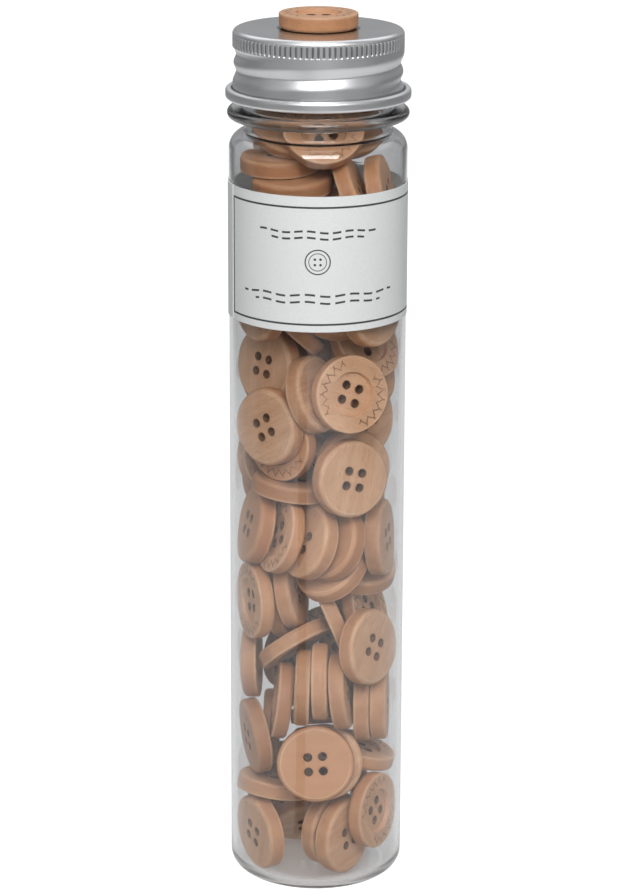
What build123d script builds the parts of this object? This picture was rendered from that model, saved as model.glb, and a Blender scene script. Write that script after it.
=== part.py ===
from build123d import *

import math
import os

import numpy as np

# A clear blown tube with a rolled aluminium screw cap, filled with wooden sew-through buttons.
# One more button is glued on the cap as its knob, and a paper label is wrapped round the tube.
# Millimetres, +Z up, origin at the middle of the base.

# Tube: straight wall, round heel, domed base, round shoulder
tube_radius = 22.7
tube_wall = 1.2
heel_radius = 4.5
base_thickness = 1.8
foot_width = 1.1
dome_height = 1.6
shoulder_height = 195.2
shoulder_round = 4.75

# Neck and its support ring: the neck stands on the shoulder, the ring hangs below the lip
neck_step = 5.3
neck_wall = 1.2
neck_length = 28.9
ring_reach = 4.5
ring_thickness = 2.8
ring_drop = 19.7
finish_step = 0.7
lip_round = 0.5

# Screw thread shared by neck and cap: one bead on the neck, one rolled groove in the cap
thread_pitch = 4.23
thread_drop = 9.2
neck_thread_turns = 1.5
neck_bead = 1.4
cap_thread_turns = 1.55

# Cap: one pressed aluminium sheet with a knurled band, a rolled thread and a curled edge
cap_sheet = 0.3
cap_room = 2.35
cap_height = 16.2
cap_shoulder_round = 1.3
knurl_height = 3.1
knurl_ribs = 96
knurl_depth = 0.22
groove_round = 1.8
groove_depth = 0.95
curl_width = 1.85
curl_rise = 1.45
curl_slit = 0.3

# Liner: soft board disc under the cap top, resting on the lip of the neck
liner_room = 1.15
liner_thickness = 1.12
liner_gap = 0.04

# Paper label wrapped once round the tube, its end lapped over its start at the left
label_bottom = 152.6
label_height = 34.6
label_paper = 0.15
label_glue = 0.03
label_lap = 6.0
label_seam = 186.0

# Button: turned wood, four holes, dished on one side and rounded over on the other
button_radius = 10.0
button_thickness = 4.0
dished_edge_round = 0.4
plain_edge_round = 1.2
recess_radius = 5.85
recess_depth = 1.0
recess_slope = 0.35
hole_radius = 1.12
hole_spacing = 3.8

# How the buttons lie: the gap kept between any two, the share of the tube that they fill, and the
# empty height below the lip.
# They settle in small steps, and a hidden one that stays squeezed is taken out at each check.
# Those seen are held, more in the view's plane than in depth, until all have grown to full size.
button_gap = 0.1
filled_share = 0.44
empty_top = 17.1
settle_steps = 1400
squeeze_steps = 120
settle_limit = 4200
seen_ease = 0.04
hold_in_view = 0.15
hold_in_depth = 0.05
hold_facing = 1.5

# Buttons seen through the front of the tube.
# across: X of the middle. height: Z of the middle. turn: degrees that the near face looks to the
# right. rise: degrees that it looks up. spin: degrees of its hole square. back: how far it stands
# behind the tube's wall. side: which side of the button is the near one.
PLAIN, DISHED = -1, 1
seen_buttons = {
    "bottom_left": (-14.5, 11.0, -60, -12, -18, 0, PLAIN),
    "bottom_back": (-3.0, 11.0, 5, -38, 14, 11, PLAIN),
    "bottom_right": (7.0, 12.5, 58, 0, 8, 0, PLAIN),
    "low_right_dished": (14.0, 20.0, 57, 4, 30, 0, DISHED),
    "low_left_lying": (-10.5, 22.5, 90, 86, 0, 0, PLAIN),
    "low_front_plain": (-1.5, 35.0, -3, 20, 4, 0, PLAIN),
    "low_front_second": (3.0, 33.0, 5, 20, 40, 4.5, PLAIN),
    "low_right_flat": (11.0, 30.5, 20, 84, 20, 1, DISHED),
    "low_left_plain": (-15.5, 39.0, -70, -5, -5, 0, PLAIN),
    "upright_right": (12.5, 47.0, 85, 0, 10, 0, PLAIN),
    "upright_far_right": (16.5, 47.0, 78, 3, 25, 0, PLAIN),
    "mid_right_plain": (13.5, 64.0, 51, 2, -36, 0, PLAIN),
    "upright_leaning": (6.5, 53.0, 82, 11, 50, 0, PLAIN),
    "upright_middle_left": (-4.0, 55.0, -87, 0, 15, 0, PLAIN),
    "upright_middle_right": (0.5, 55.5, 87, 0, 70, 0, PLAIN),
    "upright_left": (-9.5, 50.0, -83, -4, 35, 0, DISHED),
    "slim_leaning": (2.0, 72.0, 90, 23, 5, 0, PLAIN),
    "across_leaning": (-7.5, 62.5, -132, 62, 30, 0, PLAIN),
    "wall_left_low": (-16.5, 58.0, -84, -7, 60, 0, PLAIN),
    "mid_left_dished": (-15.5, 77.5, -68, 3, 12, 0, DISHED),
    "mid_upright_left": (-11.0, 74.5, 88, 9, 44, 0, PLAIN),
    "mid_upright_brown": (-7.0, 77.0, 74, 6, 20, 0, PLAIN),
    "mid_face_up": (5.0, 86.0, -49, 63, 10, 0, PLAIN),
    "fan_front": (-2.0, 95.5, -30, 22, -12, 1.5, PLAIN),
    "fan_behind": (5.0, 93.0, -28, 22, 35, 3, PLAIN),
    "mid_dished": (-9.5, 94.0, -45, 15, 32, 0, DISHED),
    "wall_left_mid": (-15.5, 98.0, -75, 18, 0, 0, PLAIN),
    "left_lying": (-5.5, 106.0, -90, 86, 25, 1, PLAIN),
    "upper_left_dished": (-9.5, 119.0, -38, 18, 15, 4, DISHED),
    "upper_left_plain": (-11.5, 125.0, -33, 12, 32, 0, PLAIN),
    "top_left_plain": (-12.0, 139.5, -37, 13, -5, 0, PLAIN),
    "front_dished": (7.0, 134.0, 10, 12, -24, 0, DISHED),
    "front_plain": (9.5, 111.0, 14, 12, -16, 0, PLAIN),
    "front_plain_second": (7.5, 110.5, 12, 10, 50, 4.5, PLAIN),
    "upper_right_back": (12.0, 124.5, 38, 8, 20, 3, PLAIN),
    "mid_right_back": (14.5, 101.0, 56, 5, 60, 3, PLAIN),
    "wall_right_mid": (16.5, 92.5, 76, 0, 5, 0, PLAIN),
    "mid_right_dished": (14.5, 72.5, 58, 25, 40, 1, DISHED),
    "right_tilted": (11.5, 83.0, 70, 60, 15, 2, PLAIN),
    "under_label_left": (-7.0, 148.0, 105, 63, 20, 0, PLAIN),
    "under_label_middle": (5.0, 152.5, -10, 40, 30, 3, PLAIN),
    "under_label_right": (13.5, 155.5, 55, 18, 10, 0, PLAIN),
    "right_wall_dished": (13.0, 145.0, 50, 18, 25, 0, DISHED),
    "right_wall_plain": (13.0, 138.0, 48, 15, 45, 2, PLAIN),
    "under_label_wall": (-14.5, 157.0, -60, 0, 0, 0, PLAIN),
    "neck_face_up": (-6.5, 189.0, 0, 80, 40, 0, PLAIN),
    "neck_second": (-3.5, 183.0, 20, 72, 10, 1, PLAIN),
    "neck_dished": (1.5, 201.0, 0, 40, 20, 0, DISHED),
    "neck_left_flat": (-9.5, 193.5, -90, 86, 0, 2, PLAIN),
    "neck_leaning": (9.5, 185.0, 88, 26, 30, 0, PLAIN),
    "neck_right_plain": (15.5, 183.5, 73, 10, 15, 0, PLAIN),
    "neck_back_left": (-6.0, 199.5, -15, 30, 60, 11, PLAIN),
    "neck_back_right": (6.5, 201.0, 15, 35, 5, 13, PLAIN),
}

# Worked out from the sizes above
inner_radius = tube_radius - tube_wall
inner_heel = heel_radius - tube_wall
shoulder_middle = tube_radius - shoulder_round
inner_shoulder = shoulder_round - tube_wall
dome_radius = tube_radius - (heel_radius + foot_width)
neck_bore = tube_radius - neck_step
neck_radius = neck_bore + neck_wall
ring_radius = neck_radius + ring_reach
finish_radius = neck_radius + finish_step
lip_height = shoulder_height + neck_length
ring_height = lip_height - ring_drop
thread_start = lip_height - thread_drop
filled_to = lip_height - empty_top
cap_radius = finish_radius + cap_room
cap_top = lip_height + 2 * liner_gap + liner_thickness + cap_sheet
liner_radius = cap_radius - cap_sheet - liner_room
knurl_top = cap_top - cap_shoulder_round
curl_reach = cap_radius + curl_width
curl_height = cap_top - cap_height
groove_middle = cap_radius - groove_depth + groove_round
half_thickness = button_thickness / 2

os.makedirs("parts", exist_ok=True)


def save(builder, name):
    builder.part.label = name
    export_step(builder.part, f"parts/{name}.step")


# Tube

def dome_arc(height):
    """Underside or inside of the domed base, from the middle out to the standing ring."""
    rise = dome_height
    sphere = (dome_radius**2 + rise**2) / (2 * rise)
    half = math.degrees(math.asin(dome_radius / sphere))
    return CenterArc((0, height + rise - sphere), sphere, 90 - half, half)


def make_tube():
    ring_edge = ring_radius - ring_thickness / 2
    arc_to_neck = math.degrees(math.acos((neck_radius - shoulder_middle) / shoulder_round))
    neck_foot = shoulder_height + shoulder_round * math.sin(math.radians(arc_to_neck))
    bead = wound_bar(finish_radius, thread_start, neck_thread_turns, neck_bead)
    with BuildPart() as tube:
        with BuildSketch(Plane.XZ):
            with BuildLine():
                dome_arc(0)
                Line((dome_radius, 0), (tube_radius - heel_radius, 0))
                CenterArc((tube_radius - heel_radius, heel_radius), heel_radius, 270, 90)
                Line((tube_radius, heel_radius), (tube_radius, shoulder_height))
                CenterArc((shoulder_middle, shoulder_height), shoulder_round, 0, arc_to_neck)
                Polyline(
                    (neck_radius, neck_foot),
                    (neck_radius, ring_height - ring_thickness / 2),
                    (ring_edge, ring_height - ring_thickness / 2),
                )
                CenterArc((ring_edge, ring_height), ring_thickness / 2, 270, 180)
                Polyline(
                    (ring_edge, ring_height + ring_thickness / 2),
                    (finish_radius, ring_height + ring_thickness / 2),
                    (finish_radius, lip_height - lip_round),
                    (finish_radius - lip_round, lip_height),
                    (0, lip_height),
                    (0, dome_height),
                )
            make_face()
        revolve(axis=Axis.Z)
        add(bead)
        with BuildSketch(Plane.XZ):
            with BuildLine():
                dome_arc(base_thickness)
                Line((dome_radius, base_thickness), (inner_radius - inner_heel, base_thickness))
                CenterArc((inner_radius - inner_heel, base_thickness + inner_heel), inner_heel, 270, 90)
                Line((inner_radius, base_thickness + inner_heel), (inner_radius, shoulder_height))
                CenterArc((shoulder_middle, shoulder_height), inner_shoulder, 0, 90)
                Polyline(
                    (shoulder_middle, shoulder_height + inner_shoulder),
                    (neck_bore, neck_foot),
                    (neck_bore, lip_height),
                    (0, lip_height),
                    (0, base_thickness + dome_height),
                )
            make_face()
        revolve(axis=Axis.Z, mode=Mode.SUBTRACT)
    save(tube, "tube")


def wound_bar(middle, start, turns, bar):
    """Round bar wound up round the tube's axis, with ball ends."""
    with BuildPart() as wound:
        with BuildLine():
            path = Helix(
                pitch=thread_pitch,
                height=thread_pitch * turns,
                radius=middle,
                center=(0, 0, start),
            )
        with BuildSketch(Plane(origin=path @ 0, z_dir=path % 0)):
            Circle(bar)
        sweep(path=path, is_frenet=True)
        with Locations(path @ 0, path @ 1):
            Sphere(bar)
    return wound.part


# Cap, liner and knob

def make_cap():
    skirt_inside = cap_radius - cap_sheet
    knurl_bottom = knurl_top - knurl_height
    curl_middle = (skirt_inside + curl_reach) / 2
    curl_half = (curl_reach - skirt_inside) / 2
    groove_start = thread_start - thread_pitch / 2
    ridge = wound_bar(groove_middle, groove_start, cap_thread_turns, groove_round + cap_sheet)
    groove = wound_bar(groove_middle, groove_start, cap_thread_turns, groove_round)
    with BuildPart() as cap:
        add(ridge)
        with BuildSketch(Plane.XY.offset(curl_height)):
            Circle(cap_radius - cap_sheet / 2)
        extrude(amount=knurl_bottom - curl_height, mode=Mode.INTERSECT)
        with BuildSketch(Plane.XZ):
            with Locations((curl_middle, curl_height)):
                Ellipse(curl_half, curl_rise)
                Ellipse(curl_half - cap_sheet, curl_rise - cap_sheet, mode=Mode.SUBTRACT)
            with Locations((cap_radius + curl_slit / 2, curl_height + curl_rise)):
                Rectangle(curl_slit, 2 * (curl_rise - cap_sheet), mode=Mode.SUBTRACT)
            with BuildLine():
                Line((skirt_inside, curl_height), (cap_radius, curl_height))
                Line((cap_radius, curl_height), (cap_radius, knurl_top))
                CenterArc((cap_radius - cap_shoulder_round, knurl_top), cap_shoulder_round, 0, 90)
                Polyline(
                    (cap_radius - cap_shoulder_round, cap_top),
                    (0, cap_top),
                    (0, cap_top - cap_sheet),
                    (cap_radius - cap_shoulder_round, cap_top - cap_sheet),
                )
                CenterArc(
                    (cap_radius - cap_shoulder_round, knurl_top),
                    cap_shoulder_round - cap_sheet,
                    90,
                    -90,
                )
                Line((skirt_inside, knurl_top), (skirt_inside, curl_height))
            make_face()
        revolve(axis=Axis.Z)
        add(groove, mode=Mode.SUBTRACT)
        with BuildSketch(Plane.XY.offset(knurl_bottom)):
            Circle(cap_radius + knurl_depth)
            Circle(cap_radius, mode=Mode.SUBTRACT)
            with PolarLocations(cap_radius + knurl_depth, knurl_ribs):
                Circle(2 * knurl_depth)
        extrude(amount=knurl_height, mode=Mode.SUBTRACT)
    save(cap, "screw_cap")


def make_liner():
    with BuildPart() as liner:
        with BuildSketch(Plane.XY.offset(lip_height + liner_gap)):
            Circle(liner_radius)
        extrude(amount=liner_thickness)
    save(liner, "cap_liner")


def button_blank():
    """One button, its middle at the origin and its dished side up."""
    with BuildPart() as blank:
        with BuildSketch(Plane.XZ):
            with BuildLine():
                Line((0, -half_thickness), (button_radius - plain_edge_round, -half_thickness))
                CenterArc(
                    (button_radius - plain_edge_round, plain_edge_round - half_thickness),
                    plain_edge_round,
                    270,
                    90,
                )
                Line(
                    (button_radius, plain_edge_round - half_thickness),
                    (button_radius, half_thickness - dished_edge_round),
                )
                CenterArc(
                    (button_radius - dished_edge_round, half_thickness - dished_edge_round),
                    dished_edge_round,
                    0,
                    90,
                )
                Polyline(
                    (button_radius - dished_edge_round, half_thickness),
                    (recess_radius, half_thickness),
                    (recess_radius - recess_slope, half_thickness - recess_depth),
                    (0, half_thickness - recess_depth),
                    (0, -half_thickness),
                )
            make_face()
        revolve(axis=Axis.Z)
        with BuildSketch(Plane.XY.offset(-half_thickness)):
            with GridLocations(hole_spacing, hole_spacing, 2, 2):
                Circle(hole_radius)
        extrude(amount=button_thickness, mode=Mode.SUBTRACT)
    return blank.part


def make_buttons_at(name, planes, blank):
    with BuildPart() as seated:
        with Locations(*[plane.location for plane in planes]):
            add(blank)
    save(seated, name)


def make_label():
    """Paper band round the tube; its end laps over its start."""
    inside = tube_radius + label_glue
    lap_angle = math.degrees(label_lap / tube_radius)
    with BuildPart() as label:
        with BuildSketch(Plane.XY.offset(label_bottom)):
            Circle(inside + label_paper)
            Circle(inside, mode=Mode.SUBTRACT)
        extrude(amount=label_height)
        with BuildSketch(Plane.XY.offset(label_bottom)):
            with BuildLine():
                start = label_seam
                CenterArc((0, 0), inside + label_paper / 2, start, lap_angle)
                CenterArc((0, 0), inside + 2 * label_paper, start, lap_angle)
                for angle in (start, start + lap_angle):
                    cos, sin = math.cos(math.radians(angle)), math.sin(math.radians(angle))
                    low, high = inside + label_paper / 2, inside + 2 * label_paper
                    Line((low * cos, low * sin), (high * cos, high * sin))
            make_face()
        extrude(amount=label_height)
    save(label, "label")


# How the buttons settle against each other and the tube

def facing(turn, rise):
    """Unit vector of a face that looks turn degrees right of the front and rise degrees up."""
    turn, rise = math.radians(turn), math.radians(rise)
    return np.array([
        math.sin(turn) * math.cos(rise),
        -math.cos(turn) * math.cos(rise),
        math.sin(rise),
    ])


def side_axes(axes):
    """Two unit vectors across each button: level first, then upward."""
    level = np.cross([0.0, 0.0, 1.0], axes)
    size = np.linalg.norm(level, axis=-1, keepdims=True)
    level = np.where(size > 1e-6, level / np.maximum(size, 1e-6), [1.0, 0.0, 0.0])
    return level, np.cross(axes, level)


def edge_points(middles, axes, radius, half, count=36):
    """Points round both edges of every button."""
    angle = np.arange(count) * 2 * math.pi / count
    level, upward = side_axes(axes)
    round_it = (
        np.cos(angle)[None, :, None] * level[:, None] + np.sin(angle)[None, :, None] * upward[:, None]
    )
    rim = middles[:, None] + radius * round_it
    offset = half * axes[:, None]
    return np.concatenate([rim + offset, rim - offset], axis=1)


def wall_push(points, keep):
    """How far each point is past the tube's inside, and the way back in."""
    across = np.hypot(points[..., 0], points[..., 1])
    height = points[..., 2]
    out = points[..., :2] / np.maximum(across, 1e-9)[..., None]
    inward = np.concatenate([-out, np.zeros_like(across)[..., None]], axis=-1)
    past = across - (inner_radius - keep)
    in_neck = height > shoulder_height + inner_shoulder
    past = np.where(in_neck, across - (neck_bore - keep), past)
    for ring, level, size, outer in (
        (inner_radius - inner_heel, base_thickness + inner_heel, inner_heel, -1),
        (shoulder_middle, shoulder_height, inner_shoulder, 1),
    ):
        dx, dz = across - ring, height - level
        reach = np.hypot(dx, dz)
        here = (dx > 0) & (dz * outer > 0) & ~in_neck
        past = np.where(here, reach - (size - keep), past)
        turned = np.concatenate([-out * dx[..., None], -dz[..., None]], axis=-1)
        turned /= np.maximum(reach, 1e-9)[..., None]
        inward = np.where(here[..., None], turned, inward)
    floor = base_thickness + dome_height * np.maximum(0, 1 - (across / dome_radius) ** 2)
    below = floor + keep - height
    sunk = below > np.maximum(past, 0)
    past = np.where(sunk, below, past)
    return past, np.where(sunk[..., None], [0.0, 0.0, 1.0], inward)


def reach_of(way, axes, radius, half, edge):
    """How far a button with rounded edges reaches along a direction."""
    along = np.abs(np.sum(way * axes, axis=-1))
    sideways = np.sqrt(np.maximum(0, 1 - along**2))
    return (radius - edge) * sideways + (half - edge) * along + edge


def reach_point(way, axes, radius, half):
    """The point of a button that reaches furthest, eased near flat contact."""
    along = np.sum(way * axes, axis=-1, keepdims=True)
    sideways = way - along * axes
    size = np.linalg.norm(sideways, axis=-1, keepdims=True)
    return radius * sideways / np.maximum(size, 0.12) + half * axes * np.clip(along / 0.12, -1, 1)


def unit(vectors):
    return vectors / np.maximum(np.linalg.norm(vectors, axis=-1, keepdims=True), 1e-9)


def best_way(offset, first, second, last, radius, half, edge):
    """For each pair, the direction along which the two buttons are furthest apart."""
    def apart(way):
        return (
            np.sum(way * offset, axis=-1)
            - reach_of(way, first, radius, half, edge)
            - reach_of(way, second, radius, half, edge)
        )

    def toward(way):
        return way * np.where(np.sum(way * offset, axis=-1, keepdims=True) < 0, -1, 1)

    tries = [last, offset, first, second, np.cross(first, second)]
    for axes in (first, second):
        tries.append(offset - np.sum(offset * axes, axis=-1, keepdims=True) * axes)
    ways = np.array([toward(unit(way)) for way in tries])
    scores = np.array([apart(way) for way in ways])
    pick = np.argmax(scores, axis=0)
    rows = np.arange(len(offset))
    way, score = ways[pick, rows], scores[pick, rows]
    step = np.full(len(offset), 0.04)
    for _ in range(9):
        slope = offset - reach_point(way, first, radius, half) - reach_point(way, second, radius, half)
        slope -= np.sum(slope * way, axis=-1, keepdims=True) * way
        trial = unit(way + step[:, None] * slope)
        trial_score = apart(trial)
        better = trial_score > score
        way = np.where(better[:, None], trial, way)
        score = np.where(better, trial_score, score)
        step = np.where(better, step * 1.4, step * 0.35)
    return way, score


def wall_depth(across, axis):
    """Where a seen button's middle stands when it touches the front of the tube."""
    rim = edge_points(np.zeros((1, 3)), axis[None], button_radius, half_thickness)[0]
    limit = inner_radius - button_gap
    while True:
        room = limit**2 - (across + rim[:, 0]) ** 2
        if room.min() > 0:
            front = np.max(-np.sqrt(room) - rim[:, 1])
            if front <= np.min(np.sqrt(room) - rim[:, 1]):
                return across, front
        across -= 0.1 * np.sign(across)


def start_places():
    """Seen buttons where they are seen, then more in the emptiest places until the tube is full."""
    middles, axes = [], []
    for across, height, turn, rise, spin, back, side in seen_buttons.values():
        axis = facing(turn, rise)
        across, front = wall_depth(across, axis)
        middles.append([across, front + back, height])
        axes.append(axis)
    room = math.pi * inner_radius**2 * (shoulder_height - base_thickness)
    room += math.pi * neck_bore**2 * (filled_to - shoulder_height)
    button = math.pi * button_radius**2 * button_thickness
    wanted = int(filled_share * room / button)
    draw = np.random.default_rng(5)
    spots = draw.uniform(-1, 1, (6000, 3))
    spots[:, :2] *= inner_radius - 0.75 * button_radius
    low = base_thickness + 0.6 * button_radius
    high = filled_to - 0.7 * button_radius
    spots[:, 2] = low + (spots[:, 2] + 1) / 2 * (high - low)
    spots = spots[np.hypot(spots[:, 0], spots[:, 1]) < inner_radius - 0.75 * button_radius]
    middles, axes = np.array(middles), np.array(axes)
    nearest = np.min(np.linalg.norm(spots[:, None] - middles[None], axis=-1), axis=1)
    while len(middles) < wanted:
        best = int(np.argmax(nearest))
        spot = spots[best]
        beside = axes[np.argmin(np.linalg.norm(middles - spot, axis=1))]
        axis = unit(beside + 0.5 * draw.normal(size=3))
        middles = np.vstack([middles, spot])
        axes = np.vstack([axes, axis])
        nearest = np.minimum(nearest, np.linalg.norm(spots - spot, axis=1))
    return middles, axes


def settle():
    """Let the buttons grow to size while they push each other and the tube's wall apart."""
    middles, axes = start_places()
    seen = len(seen_buttons)
    wish, wish_axes = middles[:seen].copy(), axes[:seen].copy()
    last_ways = np.zeros((len(middles), len(middles), 3))
    squeezed = np.zeros(len(middles))
    in_view = np.array([1.0, hold_in_depth, 1.0])
    for step in range(1, settle_limit + 1):
        part = min(1.0, step / settle_steps)
        size = min(1.0, 0.55 + 0.75 * part)
        moves, turns, pressed, closest = push_apart(middles, axes, last_ways, size)
        squeezed += pressed
        middles = middles + moves
        axes = unit(axes + np.cross(turns, axes))
        pull = hold_in_view * (1 - part)
        middles[:seen] += pull * in_view * (wish - middles[:seen])
        axes[:seen] = unit(axes[:seen] + pull * hold_facing * (wish_axes - axes[:seen]))
        if part < 0.8:
            middles[seen:, 2] -= 0.01
        if step % squeeze_steps:
            continue
        if part == 1.0 and closest.min() > 0.3 * button_gap:
            break
        stuck = np.where(closest < -0.3 * button_gap, squeezed, 0.0)[seen:]
        if part == 1.0 and stuck.any():
            keep = np.arange(len(middles)) != seen + int(np.argmax(stuck))
            middles, axes = middles[keep], axes[keep]
            last_ways = last_ways[keep][:, keep]
        squeezed = np.zeros(len(middles))
    return middles, axes, closest.min()


def push_apart(middles, axes, last_ways, size):
    """The moves and turns of one step, how hard each button is pressed and its closest gap."""
    count = len(middles)
    each = np.arange(count)
    radius, half, edge = button_radius * size, half_thickness * size, dished_edge_round * size
    swing = button_radius**2 / 4 + button_thickness**2 / 12
    ease_of = np.where(each < len(seen_buttons), seen_ease, 1.0)
    moves, turns = np.zeros((count, 3)), np.zeros((count, 3))
    touches, pressed = np.zeros(count), np.zeros(count)

    def turned_by(body, meet, way):
        lever = np.cross(meet - middles[body], way)
        return lever - np.sum(lever * axes[body], axis=1, keepdims=True) * axes[body]

    first, second = np.triu_indices(count, 1)
    offset = middles[second] - middles[first]
    near = np.linalg.norm(offset, axis=1) < 2 * math.hypot(radius, half) + button_gap
    first, second, offset = first[near], second[near], offset[near]
    last = last_ways[first, second]
    way, apart = best_way(offset, axes[first], axes[second], last, radius, half, edge)
    last_ways[first, second] = way
    closest = np.full(count, 2 * button_radius)
    np.minimum.at(closest, first, apart)
    np.minimum.at(closest, second, apart)
    tight = apart < button_gap
    first, second, way, lack = first[tight], second[tight], way[tight], button_gap - apart[tight]
    on_first = middles[first] + reach_point(way, axes[first], radius, half)
    on_second = middles[second] - reach_point(way, axes[second], radius, half)
    meet = (on_first + on_second) / 2
    levers = [turned_by(body, meet, way) for body in (first, second)]
    share = sum(
        ease_of[body] * (1 + np.sum(lever**2, axis=1) / swing)
        for body, lever in zip((first, second), levers)
    )
    push = (lack / share)[:, None]
    for body, lever, sign in ((first, levers[0], -1), (second, levers[1], 1)):
        own = sign * push * ease_of[body][:, None]
        np.add.at(moves, body, own * way)
        np.add.at(turns, body, own * lever / swing)
        np.add.at(touches, body, 1)
        np.add.at(pressed, body, lack)

    rim = edge_points(middles, axes, radius - edge, half - edge)
    past, inward = wall_push(rim, edge + button_gap)
    for rows in np.split(np.arange(rim.shape[1]), 2):
        deepest = rows[np.argmax(past[:, rows], axis=1)]
        depth = np.maximum(0, past[each, deepest])
        way = inward[each, deepest]
        lever = turned_by(each, rim[each, deepest], way)
        push = (depth / (1 + np.sum(lever**2, axis=1) / swing))[:, None]
        moves += push * way
        turns += push * lever / swing
        touches += depth > 0
    ease = np.minimum(1.0, 1.5 / np.maximum(touches, 1))[:, None]
    return ease * moves, ease * turns, pressed, closest


def button_plane(middle, axis, spin, side):
    """Plane that carries a button with the asked side along its axis."""
    level, upward = side_axes(axis[None])
    angle = math.radians(spin)
    x_way = math.cos(angle) * level[0] + math.sin(angle) * upward[0]
    return Plane(origin=tuple(middle), x_dir=tuple(x_way), z_dir=tuple(side * axis))


def make_buttons():
    blank = button_blank()
    middles, axes, closest = settle()
    print(f"{len(middles)} buttons in the tube, closest two {closest:.3f} mm apart")
    for index, (name, row) in enumerate(seen_buttons.items()):
        spin, side = row[4], row[6]
        plane = button_plane(middles[index], axes[index], spin, side)
        make_buttons_at(f"button_{name}", [plane], blank)
    inner = range(len(seen_buttons), len(middles))
    split = (base_thickness + filled_to) / 2
    for name, low, high in (("inner_buttons_low", 0, split), ("inner_buttons_high", split, lip_height)):
        planes = [
            button_plane(middles[i], axes[i], 37 * i % 90, DISHED if i % 2 else PLAIN)
            for i in inner
            if low <= middles[i][2] < high
        ]
        make_buttons_at(name, planes, blank)
    knob = Plane.XY.offset(cap_top + half_thickness)
    make_buttons_at("knob_button", [knob], blank)


make_tube()
make_cap()
make_liner()
make_label()
make_buttons()
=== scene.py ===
import math

import bpy
import numpy as np
from mathutils import Matrix, Vector


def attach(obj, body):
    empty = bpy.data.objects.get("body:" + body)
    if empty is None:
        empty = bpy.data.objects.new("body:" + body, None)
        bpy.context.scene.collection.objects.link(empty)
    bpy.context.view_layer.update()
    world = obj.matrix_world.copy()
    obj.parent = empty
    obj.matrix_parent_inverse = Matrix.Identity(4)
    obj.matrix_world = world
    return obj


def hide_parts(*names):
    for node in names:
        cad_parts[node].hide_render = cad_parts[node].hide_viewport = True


# A clear tube of wooden buttons, closed by a rolled aluminium cap with a button for a knob.
# Metres, +Z up, the viewer of the photograph at -Y.
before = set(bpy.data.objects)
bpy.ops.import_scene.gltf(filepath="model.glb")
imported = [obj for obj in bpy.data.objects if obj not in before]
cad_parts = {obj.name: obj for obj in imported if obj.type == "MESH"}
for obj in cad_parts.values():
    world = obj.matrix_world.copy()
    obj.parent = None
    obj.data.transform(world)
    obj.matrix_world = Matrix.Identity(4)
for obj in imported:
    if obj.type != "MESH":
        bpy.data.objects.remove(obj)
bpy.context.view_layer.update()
bpy.context.scene.view_settings.view_transform = "Standard"

# The view: a long lens a little above the cap, looking down at the middle of the tube, as in the
# product photograph.
eye, look_down, roll = (0.00075, -0.8232, 0.3573), math.radians(16.351), math.radians(-0.216)
camera = bpy.data.objects.new("camera", bpy.data.cameras.new("camera"))
bpy.context.scene.collection.objects.link(camera)
bpy.context.scene.camera = camera
camera.data.sensor_width = 36
camera.data.sensor_fit = "AUTO"
camera.data.lens = 132.5
camera.data.clip_end = 20
forward = Vector((0, math.cos(look_down), -math.sin(look_down)))
level = Vector((1, 0, 0))
upward = level.cross(forward)
side = math.cos(roll) * level - math.sin(roll) * upward
top = math.sin(roll) * level + math.cos(roll) * upward
aimed = Matrix((side, top, -forward)).transposed().to_4x4()
camera.matrix_world = Matrix.Translation(eye) @ aimed

# The studio: a floor that is white behind the tube and grey in front, with dark card and a dark gap
# there that only reflections show, in a grey room. The key lamp is above the camera, two lamps are
# at the front corners, one hangs overhead, and a fill in front shows in no reflection.
table_light, table_least, table_full, table_end = 0.54, 0.04, 0.42, 0.72
white_light, less_reflected, less_through_plastic = 0.97, 0.4, 0.13
painted_foot_shade, foot_inner, foot_outer, painted_wood_light = 0.32, 0.015, 0.0205, (1, 0.86, 0.79)
floor_grey, card_grey, card_start, card_full = 0.32, 0.07, 0.52, 0.67
gap_near, gap_far, gap_left, gap_right, gap_height = 0.06, 0.9, -24, -13, 0.001
wall_light, back_light, ceiling_light = 0.17, 0.34, 0.85
floor_reach, lamp_aim = 6, (0, 0, 0.12)


def add_node(tree, kind, settings=None, **values):
    """A shader node, its settings, and its inputs by name: a number, a colour or another output."""
    made = tree.nodes.new(kind)
    for name, value in (settings or {}).items():
        setattr(made, name, value)
    for name, value in values.items():
        socket = made.inputs[int(name[1:]) if name[1:].isdigit() else name.replace("_", " ")]
        if isinstance(value, bpy.types.NodeSocket):
            tree.links.new(value, socket)
        else:
            socket.default_value = (*value, 1) if socket.type == "RGBA" else value
    return made


def calc(tree, operation, first, second=0.0, third=0.0):
    """The output of one Math node."""
    made = add_node(tree, "ShaderNodeMath", {"operation": operation}, i0=first, i1=second, i2=third)
    return made.outputs[0]


def times(tree, product, *factors):
    """The product of two or more values."""
    for factor in factors:
        product = calc(tree, "MULTIPLY", product, factor)
    return product


def length_of(tree, first, second):
    """How long a line is that goes this far one way and this far square to it."""
    return calc(tree, "SQRT", calc(tree, "ADD", times(tree, first, first), times(tree, second, second)))


def fade(tree, value, low, high, to_low=0.0, to_high=1.0):
    """A value moved smoothly from one range to another."""
    made = add_node(tree, "ShaderNodeMapRange", {"interpolation_type": "SMOOTHSTEP"},
                    i0=value, i1=low, i2=high, i3=to_low, i4=to_high)
    return made.outputs[0]


def split(tree, vector):
    """The three parts of a vector."""
    return add_node(tree, "ShaderNodeSeparateXYZ", Vector=vector).outputs[0:3]


def blend_value(tree, share, first, second):
    """A value between two others."""
    made = add_node(tree, "ShaderNodeMix", {"data_type": "FLOAT"}, i0=share, i2=first, i3=second)
    return made.outputs[0]


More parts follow.
